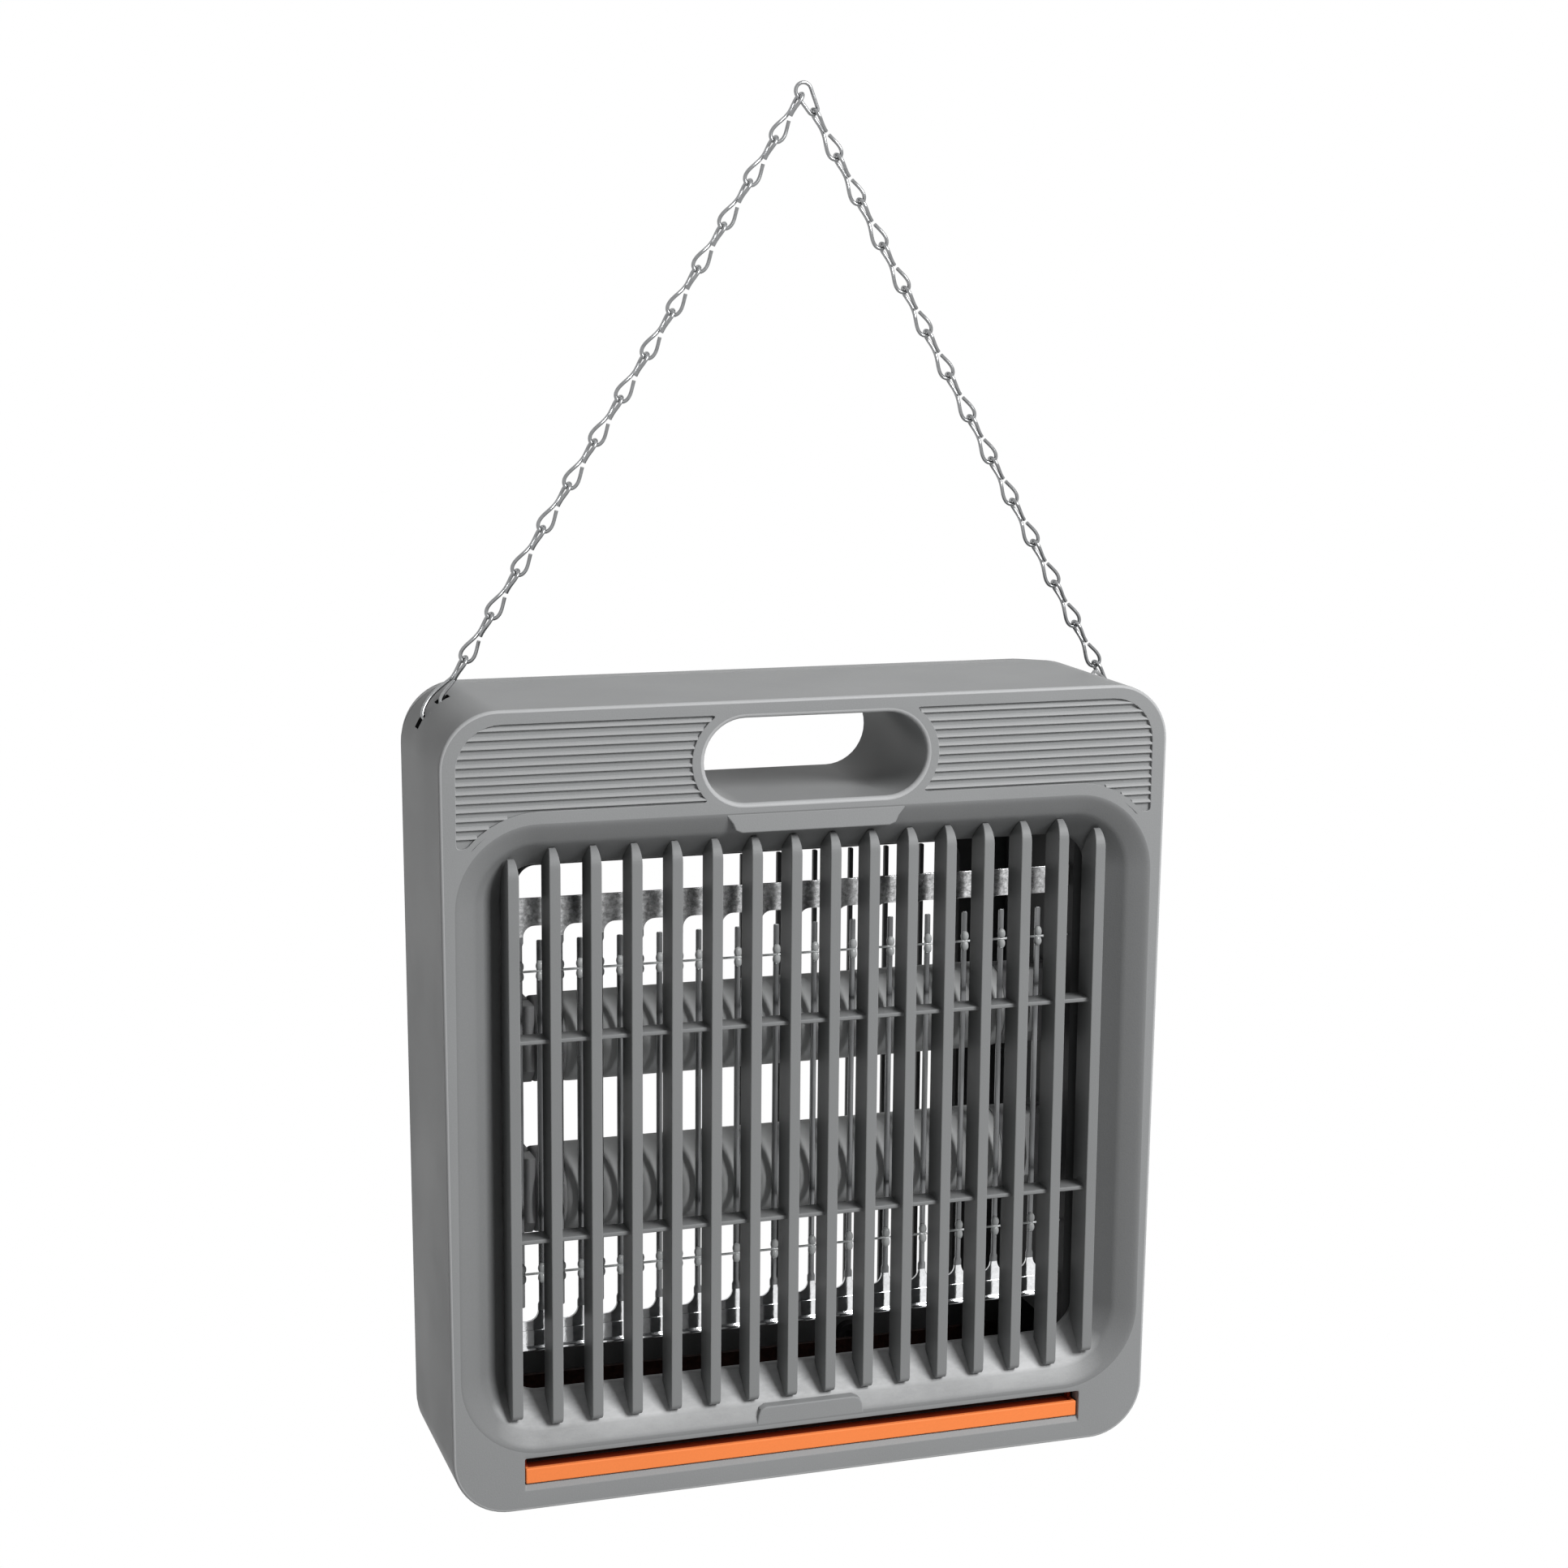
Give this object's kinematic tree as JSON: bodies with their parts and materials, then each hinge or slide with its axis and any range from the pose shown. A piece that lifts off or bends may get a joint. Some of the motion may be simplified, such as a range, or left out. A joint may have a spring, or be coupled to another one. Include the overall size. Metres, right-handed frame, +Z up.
{
  "type": "hanging electric insect killer",
  "caption": "Grey moulded electric insect killer with finned guards, comb electrodes, lamps and a pull-out tray, hung on a jack chain.",
  "frame": {"origin": "inside the top eye of the chain, where a hook holds it", "axes": "+X to the right seen from the front, +Y from the front to the rear, +Z up the chain"},
  "size_m": [0.314, 0.1063, 0.5809],
  "materials": {
    "grey_plastic": "fine matt moulding",
    "dark_plastic": "matt",
    "orange_plastic": "satin moulding",
    "white_plastic": "satin moulding",
    "clear_plastic": "polished",
    "zinc_sheet": "zinc coated sheet",
    "chain_wire": "bright zinc wire",
    "steel_core": "varnished laminations",
    "lamp_glass": "gloss"
  },
  "bodies": {
    "chain": {"top_eye": "chain_wire", "left_chain_link_01": "chain_wire", "left_chain_link_02": "chain_wire", "left_chain_link_03": "chain_wire", "left_chain_link_04": "chain_wire", "left_chain_link_05": "chain_wire", "left_chain_link_06": "chain_wire", "left_chain_link_07": "chain_wire", "left_chain_link_08": "chain_wire", "left_chain_link_09": "chain_wire", "left_chain_link_10": "chain_wire", "left_chain_link_11": "chain_wire", "left_chain_link_12": "chain_wire", "left_chain_link_13": "chain_wire", "right_chain_link_01": "chain_wire", "right_chain_link_02": "chain_wire", "right_chain_link_03": "chain_wire", "right_chain_link_04": "chain_wire", "right_chain_link_05": "chain_wire", "right_chain_link_06": "chain_wire", "right_chain_link_07": "chain_wire", "right_chain_link_08": "chain_wire", "right_chain_link_09": "chain_wire", "right_chain_link_10": "chain_wire", "right_chain_link_11": "chain_wire", "right_chain_link_12": "chain_wire", "right_chain_link_13": "chain_wire"},
    "housing": {"front_shell": "grey_plastic", "rear_shell": "grey_plastic", "front_guard": "grey_plastic", "rear_guard": "grey_plastic", "upper_electrode": "zinc_sheet", "lower_electrode": "zinc_sheet", "upper_spacer_rod": "clear_plastic", "lower_spacer_rod": "clear_plastic", "left_side_panel": "dark_plastic", "right_side_panel": "dark_plastic", "upper_left_insulator": "white_plastic", "upper_right_insulator": "white_plastic", "lower_left_insulator": "white_plastic", "lower_right_insulator": "white_plastic", "upper_lamp": "lamp_glass", "lower_lamp": "lamp_glass", "upper_left_lamp_holder": "white_plastic", "upper_right_lamp_holder": "white_plastic", "lower_left_lamp_holder": "white_plastic", "lower_right_lamp_holder": "white_plastic", "ballast": "steel_core", "high_voltage_transformer": "steel_core", "terminal_block": "white_plastic", "left_starter": "white_plastic", "right_starter": "white_plastic", "cord_gland": "dark_plastic", "left_end_link": "chain_wire", "right_end_link": "chain_wire"},
    "tray": {"collecting_tray": "orange_plastic"}
  },
  "joints": [
    {"name": "housing_swing", "type": "hinge", "parent": "chain", "child": "housing", "pos_m": [-0.00301, 0, -0.23975], "axis": [0.9991, 0, -0.0419], "range_deg": [-20, 20]},
    {"name": "tray_slide", "type": "slide", "parent": "housing", "child": "tray", "axis": [0, -1, 0], "range_m": [0, 0.08]}
  ]
}
